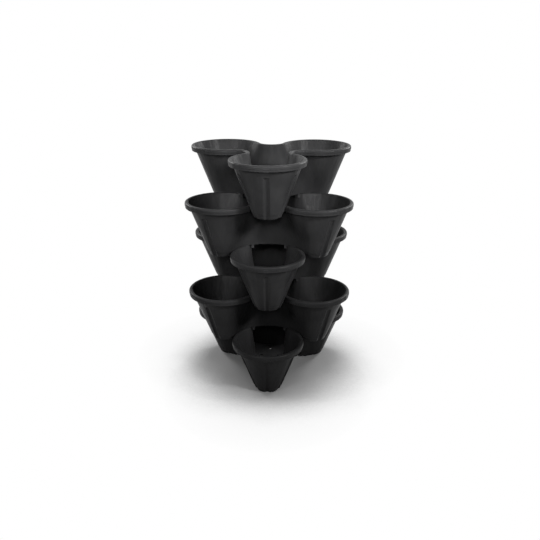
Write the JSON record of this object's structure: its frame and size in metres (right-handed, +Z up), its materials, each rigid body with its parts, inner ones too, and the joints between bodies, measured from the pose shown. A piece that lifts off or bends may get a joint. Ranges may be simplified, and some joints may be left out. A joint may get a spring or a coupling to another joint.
{
  "type": "vertical planter tower",
  "caption": "Tower of clover-shaped stacking planters with rolled rims and fluted pots; each planter lifts off the one below.",
  "frame": {"origin": "on the ground, under the middle of the tower", "axes": "+Z up the tower; -Y is the front, where a pot of the bottom, third and top planters faces"},
  "size_m": [0.3644, 0.396, 0.528],
  "materials": {
    "planter_plastic": "satin black moulded polypropylene with a faint grain"
  },
  "bodies": {
    "bottom_tier": {"bottom_planter": "planter_plastic"},
    "second_tier": {"second_planter": "planter_plastic"},
    "third_tier": {"third_planter": "planter_plastic"},
    "fourth_tier": {"fourth_planter": "planter_plastic"},
    "top_tier": {"top_planter": "planter_plastic"}
  },
  "joints": [
    {"name": "second_lift", "type": "slide", "parent": "bottom_tier", "child": "second_tier", "axis": [0, 0, 1], "range_m": [0, 0.06]},
    {"name": "third_lift", "type": "slide", "parent": "second_tier", "child": "third_tier", "axis": [0, 0, 1], "range_m": [0, 0.06]},
    {"name": "fourth_lift", "type": "slide", "parent": "third_tier", "child": "fourth_tier", "axis": [0, 0, 1], "range_m": [0, 0.06]},
    {"name": "top_lift", "type": "slide", "parent": "fourth_tier", "child": "top_tier", "axis": [0, 0, 1], "range_m": [0, 0.06]}
  ]
}
